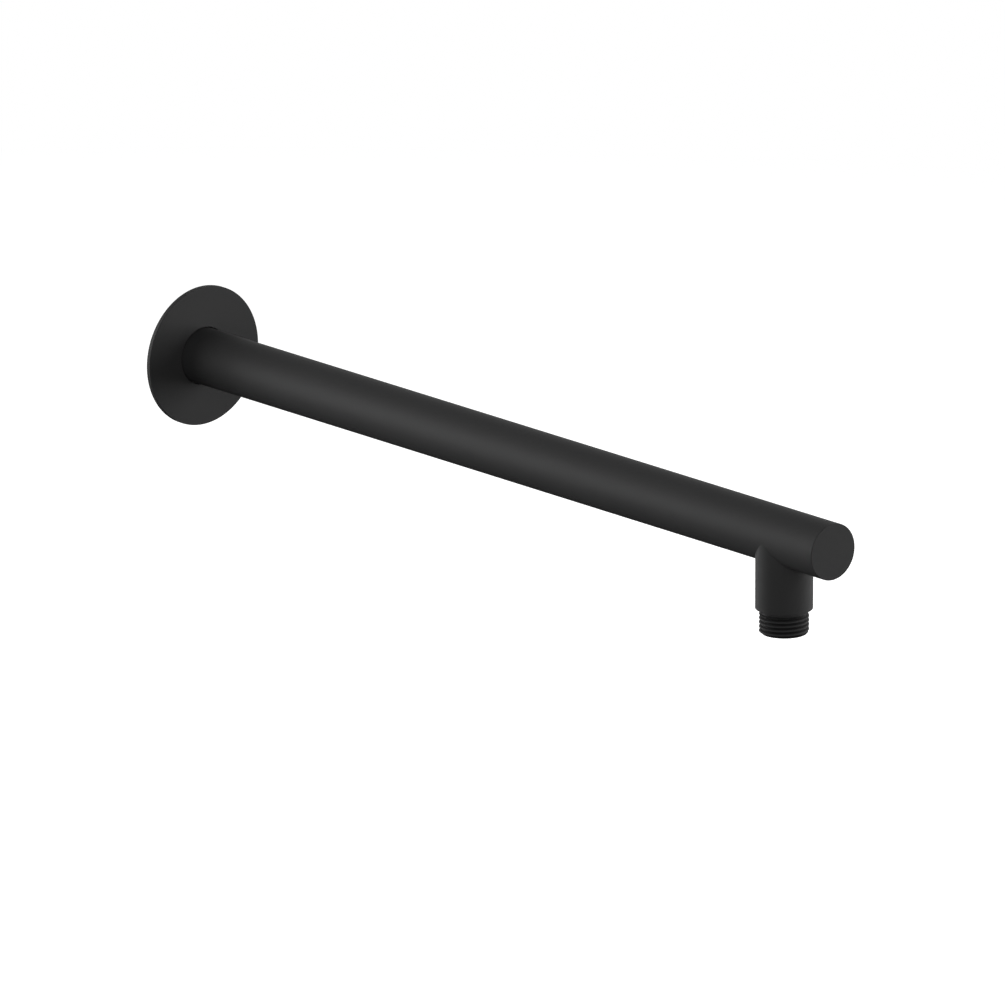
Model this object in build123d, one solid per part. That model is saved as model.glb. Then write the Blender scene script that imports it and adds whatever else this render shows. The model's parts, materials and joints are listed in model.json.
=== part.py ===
from build123d import *
import os

# Wall-mounted shower arm: a straight brass tube that carries water from an elbow in the wall
# to a threaded outlet near its closed end. A slim rose slides on the tube and hides the hole
# in the wall. Everything is in millimetres, with the origin on the tube's axis in the plane
# of the wall, +X out of the wall and +Z up.

# Arm tube
arm_reach = 400.0  # wall to the face of the closed end
tube_diameter = 24.0
tube_wall = 1.5
tube_tail_spare = 1.0  # tube behind the wall, past the rose's collar

# Closed end
cap_thickness = 2.5
cap_plug_length = 4.0
cap_edge_round = 0.4

# Brazed joints
braze_gap = 0.05  # room for the filler metal, on the radius

# Outlet
outlet_setback = 30.0  # outlet axis to the face of the closed end
outlet_step = 0.05  # outlet narrower than the tube, on the radius
outlet_drop = 30.25  # tube axis to the shoulder
outlet_edge_break = 0.25
outlet_nose_wall = 2.0  # round the waterway, where the outlet enters the hole in the tube
outlet_thread_length = 10.5

# Pipe threads, as plain cylinders of the thread's outer diameter: half-inch parallel
thread_diameter = 20.955
thread_relief_depth = 1.18
thread_relief_width = 1.5
thread_end_chamfer = 0.85
waterway_diameter = 14.0

# Inlet
inlet_collar_length = 1.0
inlet_plug_length = 12.0
inlet_thread_length = 12.0

# Rose
rose_diameter = 60.0
rose_thickness = 2.0
rose_clearance = 0.3  # gap that shows round the tube
rose_edge_break = 0.3
rose_collar_wall = 2.4  # metal outside the ring's groove
rose_collar_lip = 1.75  # metal on each side of the ring's groove
rose_collar_chamfer = 0.5

# Grip ring in the rose
ring_section = 2.5  # square
ring_corner_break = 0.3
ring_running_gap = 0.05  # between the ring and the tube
ring_groove_clearance = 0.25  # each side of the ring, along the tube

# Worked out from the sizes above
tube_radius = tube_diameter / 2
tube_bore_radius = tube_radius - tube_wall
plug_radius = tube_bore_radius - braze_gap
thread_radius = thread_diameter / 2
thread_relief_radius = thread_radius - thread_relief_depth
waterway_radius = waterway_diameter / 2
outlet_radius = tube_radius - outlet_step
outlet_nose_radius = waterway_radius + outlet_nose_wall
outlet_x = arm_reach - outlet_setback
saddle_radius = tube_radius + braze_gap
rose_bore_radius = tube_radius + rose_clearance
ring_inner_radius = tube_radius + ring_running_gap
ring_outer_radius = ring_inner_radius + ring_section
ring_groove_radius = ring_outer_radius + ring_running_gap
ring_groove_half_width = ring_section / 2 + ring_groove_clearance
rose_collar_radius = ring_groove_radius + rose_collar_wall
rose_collar_length = 2 * (ring_groove_half_width + rose_collar_lip)
ring_x = -rose_collar_length / 2
tube_tail = rose_collar_length + tube_tail_spare

# A turned piece is drawn with its axis on Z. This lays it along the arm, its top towards +X.
along_arm = Rot(0, 90, 0)


def turned(outline):
    """A solid of revolution from (radius, height) corners."""
    profile = make_face(Polyline(*outline, close=True))
    return revolve(Plane.XZ * profile, Axis.Z)


def round_edges(piece, radius, height):
    """The circular edges of that radius, at that height on Z."""
    circles = piece.edges().filter_by(GeomType.CIRCLE)
    at_height = circles.filter_by_position(Axis.Z, height - 1e-4, height + 1e-4)
    return at_height.filter_by(lambda edge: abs(edge.radius - radius) < 1e-4)


def bar_along_arm(radius, start, end):
    """A round bar on the tube's axis from x = start to x = end."""
    bar = Cylinder(radius, end - start, align=(Align.CENTER, Align.CENTER, Align.MIN))
    return Pos(start, 0, 0) * along_arm * bar


def bar_down(radius, top, bottom):
    """A round bar on the outlet's axis from z = top down to z = bottom."""
    bar = Cylinder(radius, top - bottom, align=(Align.CENTER, Align.CENTER, Align.MIN))
    return Pos(outlet_x, 0, bottom) * bar


def thread_outline(shoulder, length):
    """Corners of a male thread that hangs from a shoulder: its relief, its wall and its chamfered end."""
    tip = shoulder - length
    return [
        (thread_relief_radius, shoulder),
        (thread_relief_radius, shoulder - thread_relief_width),
        (thread_radius, shoulder - thread_relief_width),
        (thread_radius, tip + thread_end_chamfer),
        (thread_radius - thread_end_chamfer, tip),
        (waterway_radius, tip),
    ]


def make_arm_tube():
    """Drawn tube, open at both ends, with the hole that the outlet's nose enters."""
    cap_seat = arm_reach - cap_thickness
    outside = bar_along_arm(tube_radius, -tube_tail, cap_seat)
    inside = bar_along_arm(tube_bore_radius, -tube_tail, cap_seat)
    outlet_hole = bar_down(outlet_nose_radius + braze_gap, 0, -tube_diameter)
    return outside - inside - outlet_hole


def make_end_cap():
    """Stepped disc that closes the tube: its plug sits in the bore, and its rim is flush with the tube."""
    rim = [(tube_radius, 0), (tube_radius, cap_thickness), (0, cap_thickness)]
    cap = turned([(0, -cap_plug_length), (plug_radius, -cap_plug_length), (plug_radius, 0)] + rim)
    cap = fillet(round_edges(cap, tube_radius, cap_thickness), cap_edge_round)
    return Pos(arm_reach - cap_thickness, 0, 0) * along_arm * cap


def make_outlet_spigot():
    """Outlet, saddle-cut to the tube, with a nose through the tube's wall and a male thread below."""
    shoulder = -outlet_drop
    barrel = [(waterway_radius, 0), (outlet_radius, 0), (outlet_radius, shoulder)]
    blank = turned(barrel + thread_outline(shoulder, outlet_thread_length))
    blank = chamfer(round_edges(blank, outlet_radius, shoulder), outlet_edge_break)
    saddle = bar_along_arm(saddle_radius, outlet_x - tube_diameter, outlet_x + tube_diameter)
    nose = bar_down(outlet_nose_radius, 0, -saddle_radius) - bar_down(waterway_radius, 0, -saddle_radius)
    waterway = bar_along_arm(tube_bore_radius, outlet_x - tube_diameter, outlet_x + tube_diameter)
    return Pos(outlet_x, 0, 0) * blank - saddle + (nose - waterway)


def make_inlet_nipple():
    """Inlet: a plug in the tube's bore, a collar against its end and a male thread for the wall elbow."""
    shoulder = -inlet_collar_length
    plug = [(waterway_radius, inlet_plug_length), (plug_radius, inlet_plug_length), (plug_radius, 0)]
    collar = [(tube_radius, 0), (tube_radius, shoulder)]
    nipple = turned(plug + collar + thread_outline(shoulder, inlet_thread_length))
    return Pos(-tube_tail, 0, 0) * along_arm * nipple


def make_wall_rose():
    """Slim round cover plate, with a collar behind it that holds the grip ring in a groove."""
    rose_radius = rose_diameter / 2
    plate = [
        (rose_bore_radius, rose_thickness),
        (rose_radius, rose_thickness),
        (rose_radius, 0),
        (rose_collar_radius, 0),
        (rose_collar_radius, -rose_collar_length),
        (rose_bore_radius, -rose_collar_length),
    ]
    groove = [
        (rose_bore_radius, ring_x - ring_groove_half_width),
        (ring_groove_radius, ring_x - ring_groove_half_width),
        (ring_groove_radius, ring_x + ring_groove_half_width),
        (rose_bore_radius, ring_x + ring_groove_half_width),
    ]
    rose = turned(plate + groove)
    rose = chamfer(round_edges(rose, rose_radius, rose_thickness), rose_edge_break)
    rose = chamfer(round_edges(rose, rose_collar_radius, -rose_collar_length), rose_collar_chamfer)
    return along_arm * rose


def make_grip_ring():
    """Square-cut rubber ring that holds the rose where it is put on the tube."""
    front, back = ring_section / 2, -ring_section / 2
    ring = turned(
        [
            (ring_inner_radius, back),
            (ring_outer_radius, back),
            (ring_outer_radius, front),
            (ring_inner_radius, front),
        ]
    )
    ring = chamfer(ring.edges().filter_by(GeomType.CIRCLE), ring_corner_break)
    return Pos(ring_x, 0, 0) * along_arm * ring


pieces = {
    "arm_tube": make_arm_tube(),
    "end_cap": make_end_cap(),
    "outlet_spigot": make_outlet_spigot(),
    "inlet_nipple": make_inlet_nipple(),
    "wall_rose": make_wall_rose(),
    "rose_grip_ring": make_grip_ring(),
}

os.makedirs("parts", exist_ok=True)
for name, piece in pieces.items():
    export_step(piece, f"parts/{name}.step")
    print(f"{name}: {piece.volume:.0f} mm3, {len(piece.solids())} solid")
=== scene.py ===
import json
from math import atan2, cos, pi, radians, sin, sqrt, tan

import bpy
from mathutils import Matrix, Vector


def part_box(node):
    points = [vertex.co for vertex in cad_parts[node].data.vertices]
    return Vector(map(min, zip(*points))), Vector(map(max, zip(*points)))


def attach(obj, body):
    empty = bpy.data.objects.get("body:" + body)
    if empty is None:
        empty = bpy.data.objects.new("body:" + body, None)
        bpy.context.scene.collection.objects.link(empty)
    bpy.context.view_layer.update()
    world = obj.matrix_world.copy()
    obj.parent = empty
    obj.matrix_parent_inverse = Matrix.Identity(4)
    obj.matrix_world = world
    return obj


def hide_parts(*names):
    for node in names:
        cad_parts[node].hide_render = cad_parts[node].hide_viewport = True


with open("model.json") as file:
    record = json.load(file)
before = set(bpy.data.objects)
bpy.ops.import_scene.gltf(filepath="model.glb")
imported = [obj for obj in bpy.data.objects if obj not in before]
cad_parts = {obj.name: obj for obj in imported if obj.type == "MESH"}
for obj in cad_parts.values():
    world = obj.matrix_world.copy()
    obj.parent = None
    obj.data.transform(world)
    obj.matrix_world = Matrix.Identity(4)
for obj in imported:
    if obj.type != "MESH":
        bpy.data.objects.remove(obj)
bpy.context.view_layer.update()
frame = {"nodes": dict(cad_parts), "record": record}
mm = 0.001
print("frame loaded:", ", ".join(sorted(frame["nodes"])))

# The turned pieces: an outline of (along, radius) corners goes round an axis
armLathe = {"axis": Vector((1, 0, 0)), "side": Vector((0, 0, 1))}
dropLathe = {"axis": Vector((0, 0, 1)), "side": Vector((1, 0, 0))}
turnSteps = 192
roundSteps = 5  # edges in each rounded corner
weldDistance = 0.0005 * mm
smoothAngle = radians(32)


def clearSelection():
    bpy.ops.object.select_all(action="DESELECT")


def roundCorners(corners):
    # each corner is (along, radius, round), and a round of 0 stays sharp
    points = []
    for index, (along, radius, bend) in enumerate(corners):
        corner = Vector((along, radius))
        if bend == 0:
            points.append(corner)
            continue
        back = (Vector(corners[index - 1][:2]) - corner).normalized()
        ahead = (Vector(corners[(index + 1) % len(corners)][:2]) - corner).normalized()
        half = back.angle(ahead) / 2
        centre = corner + (back + ahead).normalized() * bend / sin(half)
        start = corner + back * bend / tan(half) - centre
        turnsLeft = back.cross(ahead) < 0
        sweep = (pi - 2 * half) * (1 if turnsLeft else -1)
        for step in range(roundSteps + 1):
            points.append(centre + Matrix.Rotation(sweep * step / roundSteps, 2) @ start)
    return points


def turnPiece(name, lathe, centre, outline):
    # one point is drawn along the outline, which is then spun round the axis
    clearSelection()
    bpy.ops.mesh.primitive_plane_add(size=mm)
    piece = bpy.context.object
    piece.name = piece.data.name = name
    bpy.ops.object.mode_set(mode="EDIT")
    bpy.ops.mesh.merge(type="CENTER")
    points = [centre + lathe["axis"] * along + lathe["side"] * radius for along, radius in outline]
    bpy.ops.transform.translate(value=points[0])
    for last, this in zip(points, points[1:] + points[:1]):
        bpy.ops.mesh.extrude_region_move(TRANSFORM_OT_translate={"value": this - last})
    bpy.ops.mesh.select_all(action="SELECT")
    bpy.ops.mesh.remove_doubles(threshold=weldDistance)
    bpy.ops.mesh.spin(steps=turnSteps, angle=2 * pi, center=centre, axis=lathe["axis"])
    bpy.ops.mesh.select_all(action="SELECT")
    bpy.ops.mesh.remove_doubles(threshold=weldDistance)
    bpy.ops.mesh.normals_make_consistent(inside=False)
    bpy.ops.object.mode_set(mode="OBJECT")
    return piece


def applyModifier(piece, kind, **settings):
    modifier = piece.modifiers.new(kind.title(), kind)
    for key, value in settings.items():
        setattr(modifier, key, value)
    bpy.context.view_layer.objects.active = piece
    bpy.ops.object.modifier_apply(modifier=modifier.name)


def finishPiece(piece, body, node):
    clearSelection()
    piece.select_set(True)
    bpy.context.view_layer.objects.active = piece
    bpy.ops.object.shade_smooth_by_angle(angle=smoothAngle)
    applyModifier(piece, "WEIGHTED_NORMAL", keep_sharp=True)
    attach(piece, body)
    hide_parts(node)
    print("made", piece.name, "with", len(piece.data.polygons), "faces")


def paintFaces(piece, outside, inside, isInside):
    piece.data.materials.append(outside)
    piece.data.materials.append(inside)
    for face in piece.data.polygons:
        face.material_index = 1 if isInside(face.center) else 0


# Half-inch parallel pipe thread, right-handed, with a narrow relief where it starts
pipeThread = {
    "pitch": 1.814 * mm,
    "depth": 1.05 * mm,
    "undersize": 0.15 * mm,  # crests lie below the nominal radius, as on real male threads
    "crestShare": 0.2,  # of the pitch, flat on the ridge
    "rootShare": 0.1,
    "phase": 0.07,  # turns, so that the ridges lie as in the photograph
    "ringsPerPitch": 24,
    "reliefWidth": 1.05 * mm,
    "reliefDepth": 0.75 * mm,
    "reliefFlank": 0.35 * mm,
    "endChamfer": 0.85 * mm,
    "mouthChamfer": 0.4 * mm,
}


def threadOutline(neck, tip, crest, bore):
    # from the neck to the mouth of the bore, towards lower values
    reliefEnd = neck - pipeThread["reliefWidth"]
    flank, relief = pipeThread["reliefFlank"], crest - pipeThread["reliefDepth"]
    chamfer, mouth = pipeThread["endChamfer"], pipeThread["mouthChamfer"]
    corners = [
        (neck, crest),
        (neck - flank, relief),
        (reliefEnd + flank, relief),
        (reliefEnd, crest),
        (tip + chamfer, crest),
        (tip, crest - chamfer),
    ]
    outline = []
    for corner, following in zip(corners, corners[1:]):
        # rings of edges close enough to carry the ridges
        start, end = Vector(corner), Vector(following)
        rings = round((start.x - end.x) / pipeThread["pitch"] * pipeThread["ringsPerPitch"])
        outline += [tuple(start.lerp(end, ring / rings)) for ring in range(rings)]
    return outline + [corners[-1], (tip, bore + mouth), (tip + mouth, bore)]


def cutThread(piece, lathe, centre, neck, tip, crest):
    across = lathe["axis"].cross(lathe["side"])
    slack = 0.01 * mm
    flankShare = 1 - pipeThread["crestShare"] - pipeThread["rootShare"]
    depth = pipeThread["depth"]
    # painted shade: the deeper a vertex is cut into the thread, the darker the coat paints it
    shade = piece.data.attributes.new("paintedRootShade", "FLOAT", "POINT")  # read by the coat
    for vertex in piece.data.vertices:
        arm = vertex.co - centre
        along = arm.dot(lathe["axis"])
        if not tip - slack < along < neck - slack:
            continue
        spoke = arm - lathe["axis"] * along
        if spoke.length < crest - depth - slack:
            continue
        turn = atan2(arm.dot(across), arm.dot(lathe["side"])) / (2 * pi)
        climb = along / pipeThread["pitch"] - turn + pipeThread["phase"]
        away = 2 * abs(climb % 1 - 0.5)  # 0 on a ridge, 1 in a root
        down = min(max((away - pipeThread["crestShare"]) / flankShare, 0), 1)
        eased = down**2 * (3 - 2 * down)
        surface = min(crest - depth * eased, spoke.length)
        vertex.co += spoke.normalized() * (surface - spoke.length)
        shade.data[vertex.index].value = (crest - surface) / depth if along > tip + slack else 0


# Shader maths: a wire stands for an output, and plain expressions on wires add Math nodes
class Wire:
    def __init__(self, tree, socket=None):
        self.tree = tree
        self.socket = socket

    def node(self, kind, settings=None, inputs=None, output=0):
        made = self.tree.nodes.new(kind)
        for key, value in (settings or {}).items():
            setattr(made, key, value)
        for key, value in (inputs or {}).items():
            if isinstance(value, Wire):
                self.tree.links.new(value.socket, made.inputs[key])
            else:
                made.inputs[key].default_value = value
        return Wire(self.tree, made.outputs[output] if len(made.outputs) else None)

    def maths(self, operation, first, second):
        return self.node("ShaderNodeMath", {"operation": operation}, {0: first, 1: second})

    def __add__(self, other):
        return self.maths("ADD", self, other)

    def __radd__(self, other):
        return self.maths("ADD", other, self)

    def __sub__(self, other):
        return self.maths("SUBTRACT", self, other)

    def __rsub__(self, other):
        return self.maths("SUBTRACT", other, self)

    def __mul__(self, other):
        return self.maths("MULTIPLY", self, other)

    def __rmul__(self, other):
        return self.maths("MULTIPLY", other, self)

    def atLeast(self, other):
        return self.maths("MAXIMUM", self, other)


noiseMiddle = 0.5  # the value that a noise varies about


def newMaterial(name):
    material = bpy.data.materials.new(name)
    material.use_nodes = True
    material.node_tree.nodes.clear()
    return material, Wire(material.node_tree)


def noise(wire, place, size, detail):
    inputs = {"Vector": place, "Scale": 1 / size, "Detail": detail}
    return wire.node("ShaderNodeTexNoise", inputs=inputs, output="Fac")


def mixColour(wire, share, low, high):
    # the colour sockets of a Mix node are its inputs 6 and 7 and its output 2
    return wire.node("ShaderNodeMix", {"data_type": "RGBA"}, {0: share, 6: low, 7: high}, 2)


def finishMaterial(wire, look, relief):
    # the relief is in metres, so a distance of 1 keeps its height true
    bump = wire.node("ShaderNodeBump", inputs={"Distance": 1.0, "Height": relief}, output="Normal")
    shader = wire.node("ShaderNodeBsdfPrincipled", inputs=look | {"Normal": bump})
    wire.node("ShaderNodeOutputMaterial", inputs={"Surface": shader})


coat = {
    "dark": (0.0175, 0.0175, 0.0177, 1),
    "light": (0.0225, 0.0225, 0.0227, 1),
    "root": (0.004, 0.004, 0.004, 1),  # painted shade in the roots of a thread
    "cloudTint": 0.7,  # shares of the change from dark to light
    "grainTint": 0.3,
    "roughness": 0.60,
    "roughnessSpread": 0.10,
    "cloudGloss": 0.6,  # shares of that spread
    "peelGloss": 0.4,
    "specular": 0.05,
    "cloudSize": 24 * mm,
    "peelSize": 1.6 * mm,
    "grainSize": 0.22 * mm,
    "peelHeight": 0.010 * mm,
    "grainHeight": 0.007 * mm,
}


def makeCoat():
    material, wire = newMaterial("mattBlackCoat")
    place = wire.node("ShaderNodeTexCoord", output="Object")
    cloud = noise(wire, place, coat["cloudSize"], detail=3.0)
    peel = noise(wire, place, coat["peelSize"], detail=1.0)
    grain = noise(wire, place, coat["grainSize"], detail=1.0)
    tint = coat["cloudTint"] * cloud + coat["grainTint"] * grain
    plain = mixColour(wire, tint, coat["dark"], coat["light"])
    # painted shade in the thread's roots: the coat darkens towards the root colour where the vertex was
    # cut deep
    paintedRootShade = wire.node("ShaderNodeAttribute", {"attribute_name": "paintedRootShade"}, output="Fac")
    colour = mixColour(wire, paintedRootShade, plain, coat["root"])
    gloss = coat["cloudGloss"] * cloud + coat["peelGloss"] * peel - noiseMiddle
    roughness = coat["roughness"] + coat["roughnessSpread"] * gloss
    relief = coat["peelHeight"] * peel + coat["grainHeight"] * grain
    look = {"Base Color": colour, "Roughness": roughness, "Specular IOR Level": coat["specular"]}
    finishMaterial(wire, look, relief)
    return material


bareBrass = {
    "dull": (0.30, 0.19, 0.075, 1),
    "bright": (0.58, 0.40, 0.17, 1),
    "stainTint": 0.8,  # shares of the change from dull to bright
    "markTint": 0.2,
    "roughness": 0.55,
    "stainGloss": 0.25,  # off the roughness where the brass is bright
    "stainSize": 5 * mm,
    "markSize": 0.3 * mm,
    "markHeight": 0.008 * mm,
}


def makeBrass():
    material, wire = newMaterial("bareBrass")
    place = wire.node("ShaderNodeTexCoord", output="Object")
    stain = noise(wire, place, bareBrass["stainSize"], detail=4.0)
    marks = noise(wire, place, bareBrass["markSize"], detail=2.0)
    tint = bareBrass["stainTint"] * stain + bareBrass["markTint"] * marks
    colour = mixColour(wire, tint, bareBrass["dull"], bareBrass["bright"])
    roughness = bareBrass["roughness"] - bareBrass["stainGloss"] * stain
    look = {"Base Color": colour, "Metallic": 1.0, "Roughness": roughness}
    finishMaterial(wire, look, bareBrass["markHeight"] * marks)
    return material


ringRubber = {
    "dark": (0.012, 0.012, 0.012, 1),
    "dusty": (0.030, 0.029, 0.028, 1),
    "roughness": 0.6,
    "dustRoughness": 0.2,  # on top of it where the rubber is dusty
    "dustSize": 2.5 * mm,
    "dustHeight": 0.01 * mm,
}


def makeRubber():
    material, wire = newMaterial("ringRubber")
    place = wire.node("ShaderNodeTexCoord", output="Object")
    dust = noise(wire, place, ringRubber["dustSize"], detail=4.0)
    colour = mixColour(wire, dust, ringRubber["dark"], ringRubber["dusty"])
    roughness = ringRubber["roughness"] + ringRubber["dustRoughness"] * dust
    finishMaterial(wire, {"Base Color": colour, "Roughness": roughness}, ringRubber["dustHeight"] * dust)
    return material


mattBlack, brass, rubber = makeCoat(), makeBrass(), makeRubber()
print("materials ready")

# Sizes that several pieces share, nearly all read from the frame
origin = Vector((0, 0, 0))
tubeLow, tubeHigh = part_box("arm_tube")
capLow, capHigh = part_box("end_cap")
outletLow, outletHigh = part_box("outlet_spigot")
inletLow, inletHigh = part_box("inlet_nipple")
roseLow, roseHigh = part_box("wall_rose")
ringLow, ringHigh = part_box("rose_grip_ring")
mounts = {mount["name"]: mount for mount in frame["record"]["mounts"]}
tubeRadius = inletHigh.z  # the inlet's collar is flush with the tube
outletAxis = Vector(((outletLow.x + outletHigh.x) / 2, 0, 0))
outletRadius = (outletHigh.x - outletLow.x) / 2
threadCrest = mounts["outlet_thread"]["dims"]["r_mm"] * mm - pipeThread["undersize"]
waterway = 7.0 * mm  # radius of the bore in both threads
bareWithin = waterway + pipeThread["mouthChamfer"]  # faces nearer the axis have no coat
paintSlack = 0.1 * mm  # between a bare face and the place where the coat starts

tubeShape = {
    "wall": 1.5 * mm,
    "rearEdge": 0.2 * mm,
    "noseHole": 9.05 * mm,  # radius of the hole for the outlet's nose
    "besideHole": 11.7 * mm,  # from its axis to a ring of edges on each side
    "holeSides": 96,
}
tubeBore = tubeRadius - tubeShape["wall"]


def makeTube():
    near, far = outletAxis.x - tubeShape["besideHole"], outletAxis.x + tubeShape["besideHole"]
    corners = [
        (tubeLow.x, tubeBore, 0),
        (tubeLow.x, tubeRadius, tubeShape["rearEdge"]),
        (near, tubeRadius, 0),
        (far, tubeRadius, 0),
        (tubeHigh.x, tubeRadius, 0),
        (tubeHigh.x, tubeBore, 0),
        (far, tubeBore, 0),
        (near, tubeBore, 0),
    ]
    tube = turnPiece("armTube", armLathe, origin, roundCorners(corners))
    # the outlet's nose goes through a hole in the tube's underside
    clearSelection()
    bpy.ops.mesh.primitive_cylinder_add(
        vertices=tubeShape["holeSides"],
        radius=tubeShape["noseHole"],
        depth=tubeRadius,
        location=outletAxis - Vector((0, 0, tubeRadius)),
        rotation=(0, 0, pi / tubeShape["holeSides"]),  # keeps its corners off the tube's own edges
    )
    drill = bpy.context.object
    applyModifier(tube, "BOOLEAN", operation="DIFFERENCE", solver="EXACT", object=drill)
    bpy.data.objects.remove(drill)
    paintFaces(tube, mattBlack, brass, lambda point: point.yz.length < tubeBore + paintSlack)
    finishPiece(tube, "arm", "arm_tube")


makeTube()

capShape = {"edgeRound": 0.25 * mm, "plugEdge": 0.3 * mm, "plugGap": 0.05 * mm}


def makeCap():
    plug = tubeBore - capShape["plugGap"]
    corners = [
        (capHigh.x, 0, 0),
        (capHigh.x, tubeRadius, capShape["edgeRound"]),
        (tubeHigh.x, tubeRadius, 0),
        (tubeHigh.x, plug, 0),
        (capLow.x, plug, capShape["plugEdge"]),
        (capLow.x, 0, 0),
    ]
    cap = turnPiece("endCap", armLathe, origin, roundCorners(corners))
    paintFaces(cap, mattBlack, brass, lambda point: point.x < tubeHigh.x - paintSlack)
    finishPiece(cap, "arm", "end_cap")


makeCap()

# a short plain land leads from the shoulder to the thread's relief
outletShape = {"shoulder": 30.25 * mm, "edgeRound": 0.2 * mm, "land": 1.2 * mm, "nose": 9.0 * mm}


def makeOutlet():
    tip, shoulder = outletLow.z, -outletShape["shoulder"]
    neck = shoulder - outletShape["land"]
    barrel = [
        (0, outletRadius, 0),
        (shoulder, outletRadius, outletShape["edgeRound"]),
        (shoulder, threadCrest, 0),
    ]
    thread = threadOutline(neck, tip, threadCrest, waterway)
    rim = 1 * mm  # height of the nose until its top is cut to the tube
    nose = [(rim, waterway), (rim, outletShape["nose"]), (0, outletShape["nose"])]
    outlet = turnPiece("outletSpigot", dropLathe, outletAxis, roundCorners(barrel) + thread + nose)
    # the barrel's top follows the tube's outside, and the nose ends flush with the tube's bore
    for vertex in outlet.data.vertices:
        if vertex.co.z > rim / 2:
            vertex.co.z = -sqrt(tubeBore**2 - vertex.co.y**2)
        elif vertex.co.z > -rim / 2:
            vertex.co.z = -sqrt(tubeRadius**2 - vertex.co.y**2)
    cutThread(outlet, dropLathe, outletAxis, neck, tip, threadCrest)
    paintFaces(outlet, mattBlack, brass, lambda point: (point - outletAxis).xy.length < bareWithin)
    finishPiece(outlet, "arm", "outlet_spigot")


makeOutlet()

inletShape = {"collarLength": 1.0 * mm, "collarEdge": 0.25 * mm, "plugGap": 0.05 * mm}


def makeInlet():
    plug = tubeBore - inletShape["plugGap"]
    shoulder = tubeLow.x - inletShape["collarLength"]
    thread = threadOutline(shoulder, inletLow.x, threadCrest, waterway)
    corners = [
        (inletHigh.x, waterway, 0),
        (inletHigh.x, plug, 0),
        (tubeLow.x, plug, 0),
        (tubeLow.x, tubeRadius, inletShape["collarEdge"]),
        (shoulder, tubeRadius, inletShape["collarEdge"]),
        (shoulder, threadCrest, 0),
    ]
    collar = roundCorners(corners)[:-1]  # its last corner is the thread's first
    inlet = turnPiece("inletNipple", armLathe, origin, collar + thread)
    cutThread(inlet, armLathe, origin, shoulder, inletLow.x, threadCrest)
    paintFaces(inlet, mattBlack, brass, lambda point: point.yz.length < bareWithin)
    finishPiece(inlet, "arm", "inlet_nipple")


makeInlet()

roseShape = {
    "frontEdge": 0.25 * mm,
    "backEdge": 0.1 * mm,
    "tubeGap": 0.45 * mm,
    "mouthEdge": 0.1 * mm,
    "collarWall": 2.4 * mm,
    "collarEdge": 0.5 * mm,
    "grooveGap": 0.05 * mm,
    "grooveSide": 0.25 * mm,
}


def makeRose():
    rim, hole = roseHigh.z, tubeRadius + roseShape["tubeGap"]
    groove = ringHigh.z + roseShape["grooveGap"]
    collar = groove + roseShape["collarWall"]
    grooveFront, grooveBack = ringHigh.x + roseShape["grooveSide"], ringLow.x - roseShape["grooveSide"]
    corners = [
        (roseHigh.x, hole, roseShape["mouthEdge"]),
        (roseHigh.x, rim, roseShape["frontEdge"]),
        (0, rim, roseShape["backEdge"]),
        (0, collar, 0),
        (roseLow.x, collar, roseShape["collarEdge"]),
        (roseLow.x, hole, roseShape["mouthEdge"]),
        (grooveBack, hole, 0),
        (grooveBack, groove, 0),
        (grooveFront, groove, 0),
        (grooveFront, hole, 0),
    ]
    rose = turnPiece("wallRose", armLathe, origin, roundCorners(corners))
    rose.data.materials.append(mattBlack)
    finishPiece(rose, "rose", "wall_rose")


makeRose()

ringShape = {"tubeGap": 0.05 * mm, "cornerRound": 0.35 * mm}


def makeRing():
    inner = tubeRadius + ringShape["tubeGap"]
    bend = ringShape["cornerRound"]
    corners = [
        (ringHigh.x, inner, bend),
        (ringHigh.x, ringHigh.z, bend),
        (ringLow.x, ringHigh.z, bend),
        (ringLow.x, inner, bend),
    ]
    ring = turnPiece("gripRing", armLathe, origin, roundCorners(corners))
    ring.data.materials.append(rubber)
    finishPiece(ring, "rose", "rose_grip_ring")


makeRing()
print("pieces ready")


def pointAlong(thing, direction):
    thing.rotation_euler = direction.to_track_quat("-Z", "Y").to_euler()


# Camera: fitted to the outline in the photograph, with the picture 1005 pixels wide
shot = {
    "azimuth": radians(49.032),
    "elevation": radians(15.878),
    "aim": Vector((0.195, 0, 0)),
    "distance": 9.804,
    "pixelsPerMetre": 2407,
    "aimRight": 2.004,  # pixels from the picture's middle to the aim
    "aimUp": 53.065,
    "pictureWidth": 1005,
    "sensor": 36.0,
    "clipFactor": 3,  # the camera sees this many times as far as the aim
}


def makeCamera():
    turn, rise = shot["azimuth"], shot["elevation"]
    towards = Vector((sin(turn) * cos(rise), -cos(turn) * cos(rise), sin(rise)))
    right = Vector((cos(turn), sin(turn), 0))
    up = towards.cross(right)
    bpy.ops.object.camera_add()
    camera = bpy.context.object
    camera.name = "photoCamera"
    offset = right * shot["aimRight"] + up * shot["aimUp"]
    camera.location = shot["aim"] + towards * shot["distance"] - offset / shot["pixelsPerMetre"]
    pointAlong(camera, -towards)
    camera.data.sensor_width = shot["sensor"]
    camera.data.lens = shot["sensor"] * shot["pixelsPerMetre"] * shot["distance"] / shot["pictureWidth"]
    camera.data.clip_end = shot["clipFactor"] * shot["distance"]
    bpy.context.scene.camera = camera
    return towards, right


towards, right = makeCamera()
print("camera ready")

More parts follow.
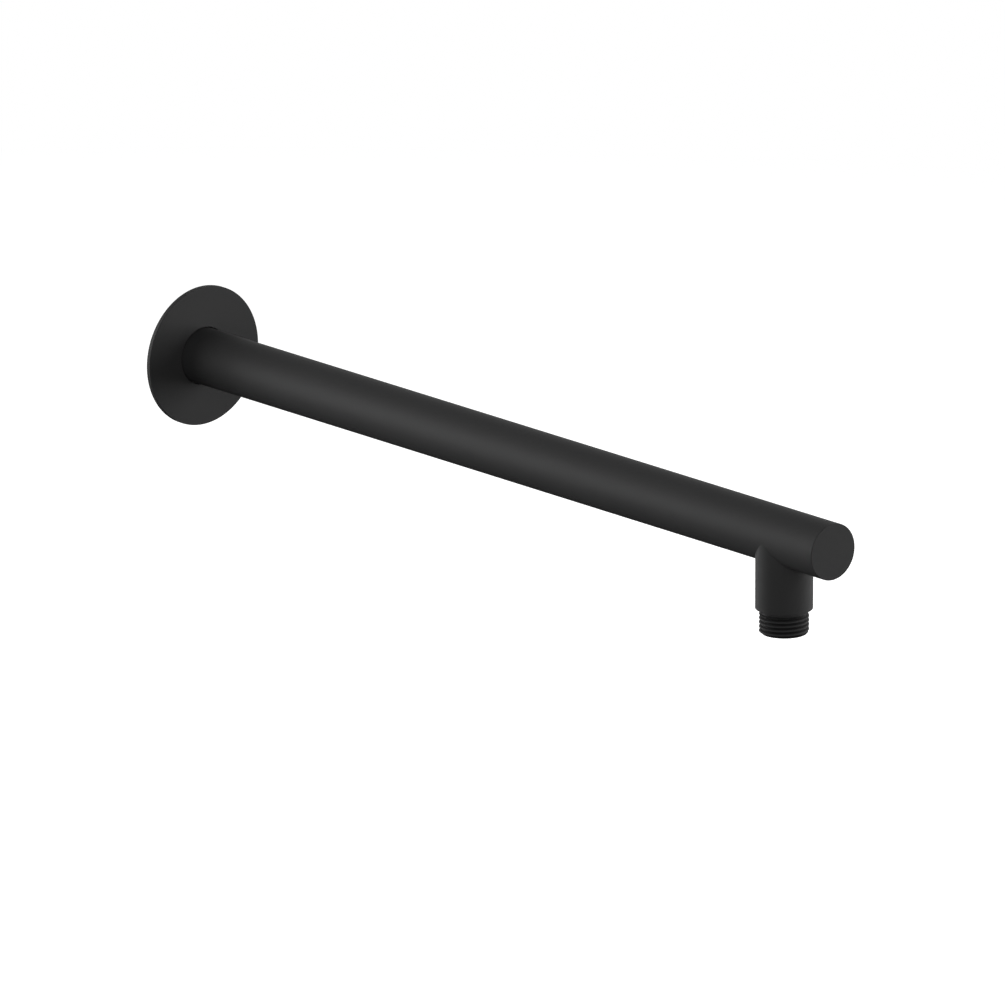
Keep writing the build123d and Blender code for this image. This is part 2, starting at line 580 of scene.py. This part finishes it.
# Studio: large soft lamps beside and in front of the arm, and a smaller one far back on the left
lampAim = Vector((0.2, 0, 0))
above = Vector((0, 0, 1))
lamps = {
    "leftSoftbox": {"place": -1.5 * right - 0.3 * towards + 0.15 * above, "size": 1.4, "power": 27.6},
    "rightSoftbox": {"place": 0.9 * right - 0.2 * towards, "size": 1.2, "power": 25.7},
    "frontFill": {"place": 1.2 * towards - 0.3 * above, "size": 1.6, "power": 14.1},
    "leftBack": {"place": -1.3 * right - 0.9 * towards + 0.2 * above, "size": 0.8, "power": 26.5},
}


def makeLamps():
    for name, lamp in lamps.items():
        bpy.ops.object.light_add(type="AREA", location=lampAim + lamp["place"])
        light = bpy.context.object
        light.name = name
        light.data.shape = "SQUARE"
        light.data.size = lamp["size"]
        light.data.energy = lamp["power"]
        pointAlong(light, -lamp["place"])
        light.visible_camera = False


makeLamps()

darkCard = {"drop": 0.25, "width": 3.0, "colour": (0.03, 0.03, 0.03, 1)}


def makeCard():
    # lies under the arm, out of the camera's sight, and keeps the underside dark
    clearSelection()
    place = lampAim - darkCard["drop"] * above
    bpy.ops.mesh.primitive_plane_add(size=darkCard["width"], location=place)
    card = bpy.context.object
    card.name = "darkCard"
    card.visible_camera = card.visible_shadow = False
    material, wire = newMaterial("darkCard")
    paper = wire.node("ShaderNodeBsdfDiffuse", inputs={"Color": darkCard["colour"]})
    wire.node("ShaderNodeOutputMaterial", inputs={"Surface": paper})
    card.data.materials.append(material)


makeCard()

studio = {
    "floorDrop": 0.34,
    "floorRadius": 7.0,
    "floorSides": 96,
    "floorColour": (0.86, 0.86, 0.86, 1),
    "floorLift": 0.9,  # glow that brings the seen floor up to white
    "fadeFrom": 0.8,  # from the floor's middle, where plain white starts to take over
    "fadeTo": 1.6,
    "ambient": 0.36,
}


def seenDirectly(wire):
    # rays that show the surround itself: from the camera, in gloss and through glass
    rays = ("Is Camera Ray", "Is Glossy Ray", "Is Transmission Ray")
    camera, gloss, glass = [wire.node("ShaderNodeLightPath", output=ray) for ray in rays]
    return camera.atLeast(gloss).atLeast(glass)


def makeFloor():
    clearSelection()
    sides, radius = studio["floorSides"], studio["floorRadius"]
    bpy.ops.mesh.primitive_circle_add(vertices=sides, radius=radius, fill_type="NGON")
    floor = bpy.context.object
    floor.name = "paleFloor"
    floor.location.z = -studio["floorDrop"]
    material, wire = newMaterial("paleFloor")
    place = wire.node("ShaderNodeTexCoord", output="Object")
    distance = wire.node("ShaderNodeVectorMath", {"operation": "LENGTH"}, {0: place}, "Value")
    limits = {"Value": distance, "From Min": studio["fadeFrom"], "From Max": studio["fadeTo"]}
    fade = wire.node("ShaderNodeMapRange", {"clamp": True}, limits)
    paper = wire.node("ShaderNodeBsdfDiffuse", inputs={"Color": studio["floorColour"]})
    lift = wire.node("ShaderNodeEmission", inputs={"Strength": studio["floorLift"]})
    near = wire.node("ShaderNodeAddShader", inputs={0: paper, 1: lift})
    far = wire.node("ShaderNodeEmission", inputs={"Strength": 1.0})
    seen = wire.node("ShaderNodeMixShader", inputs={0: fade, 1: near, 2: far})
    top = wire.node("ShaderNodeMixShader", inputs={0: seenDirectly(wire), 1: paper, 2: seen})
    # a camera under the floor sees through it
    below = wire.node("ShaderNodeNewGeometry", output="Backfacing")
    clear = wire.node("ShaderNodeBsdfTransparent")
    shader = wire.node("ShaderNodeMixShader", inputs={0: below, 1: top, 2: clear})
    wire.node("ShaderNodeOutputMaterial", inputs={"Surface": shader})
    floor.data.materials.append(material)


makeFloor()


def makeWorld():
    world = bpy.data.worlds.new("studioWorld")
    bpy.context.scene.world = world
    world.use_nodes = True
    world.node_tree.nodes.clear()
    wire = Wire(world.node_tree)
    dim = wire.node("ShaderNodeBackground", inputs={"Strength": studio["ambient"]})
    white = wire.node("ShaderNodeBackground", inputs={"Color": (1, 1, 1, 1), "Strength": 1.0})
    shader = wire.node("ShaderNodeMixShader", inputs={0: seenDirectly(wire), 1: dim, 2: white})
    wire.node("ShaderNodeOutputWorld", inputs={"Surface": shader})


makeWorld()
bpy.context.scene.view_settings.view_transform = "Standard"
print("studio ready")
